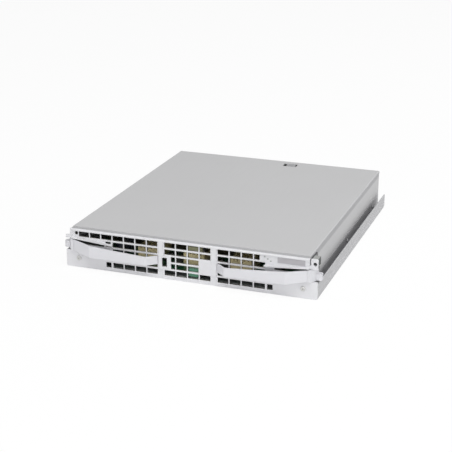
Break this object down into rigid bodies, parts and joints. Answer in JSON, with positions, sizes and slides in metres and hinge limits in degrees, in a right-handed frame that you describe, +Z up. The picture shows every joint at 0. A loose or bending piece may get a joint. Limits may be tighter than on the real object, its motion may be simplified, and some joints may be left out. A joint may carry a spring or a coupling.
{
  "type": "switch fabric module",
  "caption": "Full-width plug-in switch fabric module with a slotted front, bowed ejector levers, side rails, folded tray and lid, circuit board, heat sinks and rear connectors.",
  "frame": {"origin": "middle of the tray underside, half way along the body between the back of the front panel and the rear edge", "axes": "+X to the right along the front, +Y from the front panel to the back, +Z up"},
  "size_m": [0.437, 0.485, 0.07],
  "materials": {
    "tray_sheet": "satin, zinc-bright sheet",
    "cover_sheet": "satin light grey sheet",
    "panel_finish": "satin off-white coat",
    "lever_cast": "satin off-white coat on a casting",
    "rail_aluminium": "drawn, clear anodised",
    "spring_steel": "brushed",
    "screw_steel": "zinc plated",
    "rivet_aluminium": "satin",
    "plated_brass": "nickel-washed brass",
    "yellow_passivate": "yellow passivated zinc",
    "label_grey": "matt film",
    "black_plastic": "matt moulded",
    "lamp_clear": "clear moulded",
    "gasket_foam": "conductive cloth over foam",
    "board_green": "solder-masked laminate",
    "chip_black": "moulded package with a nickel lid",
    "sink_aluminium": "black anodised",
    "power_case": "tan anodised plate",
    "can_sleeve": "sleeved can with a bare top",
    "connector_tan": "glass-filled moulding",
    "connector_black": "glass-filled moulding",
    "socket_zinc": "zinc die casting"
  },
  "bodies": {
    "chassis": {"backplane_connector_1": "connector_tan", "backplane_connector_2": "connector_tan", "backplane_connector_3": "connector_tan", "backplane_connector_4": "connector_tan", "backplane_connector_5": "connector_tan", "backplane_connector_6": "connector_tan", "backplane_connector_7": "connector_tan", "backplane_connector_8": "connector_tan", "base_tray": "tray_sheet", "board_screws": "screw_steel", "board_standoffs": "plated_brass", "capacitor_1": "can_sleeve", "capacitor_2": "can_sleeve", "capacitor_3": "can_sleeve", "capacitor_4": "can_sleeve", "capacitor_5": "can_sleeve", "capacitor_6": "can_sleeve", "cover_catch": "spring_steel", "cover_screws": "screw_steel", "ear_gasket_left": "gasket_foam", "ear_gasket_right": "gasket_foam", "front_bar": "yellow_passivate", "front_panel": "panel_finish", "guide_rail_left": "rail_aluminium", "guide_rail_right": "rail_aluminium", "guide_socket_left": "socket_zinc", "guide_socket_right": "socket_zinc", "heat_sink_1": "sink_aluminium", "heat_sink_2": "sink_aluminium", "heat_sink_3": "sink_aluminium", "heat_sink_4": "sink_aluminium", "heat_sink_screws": "screw_steel", "label_plate": "label_grey", "lamp_holder": "black_plastic", "main_board": "board_green", "panel_screws": "screw_steel", "pivot_bracket_left": "spring_steel", "pivot_bracket_right": "spring_steel", "pivot_pin_left": "screw_steel", "pivot_pin_right": "screw_steel", "power_inlet": "connector_black", "power_module_1": "power_case", "power_module_2": "power_case", "power_module_3": "power_case", "rail_rivets": "rivet_aluminium", "status_lamp_1": "lamp_clear", "status_lamp_2": "lamp_clear", "status_lamp_3": "lamp_clear", "switch_chip_1": "chip_black", "switch_chip_2": "chip_black", "switch_chip_3": "chip_black", "switch_chip_4": "chip_black", "top_cover": "cover_sheet"},
    "lever_left": {"ejector_lever_left": "lever_cast"},
    "lever_right": {"ejector_lever_right": "lever_cast"}
  },
  "joints": [
    {"name": "lever_right_swing", "type": "hinge", "parent": "chassis", "child": "lever_right", "pos_m": [0.2075, -0.227, 0.0385], "axis": [0, 0, 1], "range_deg": [0, 65]},
    {"name": "lever_left_swing", "type": "hinge", "parent": "chassis", "child": "lever_left", "pos_m": [-0.2075, -0.227, 0.0385], "axis": [0, 0, -1], "range_deg": [0, 65]}
  ]
}
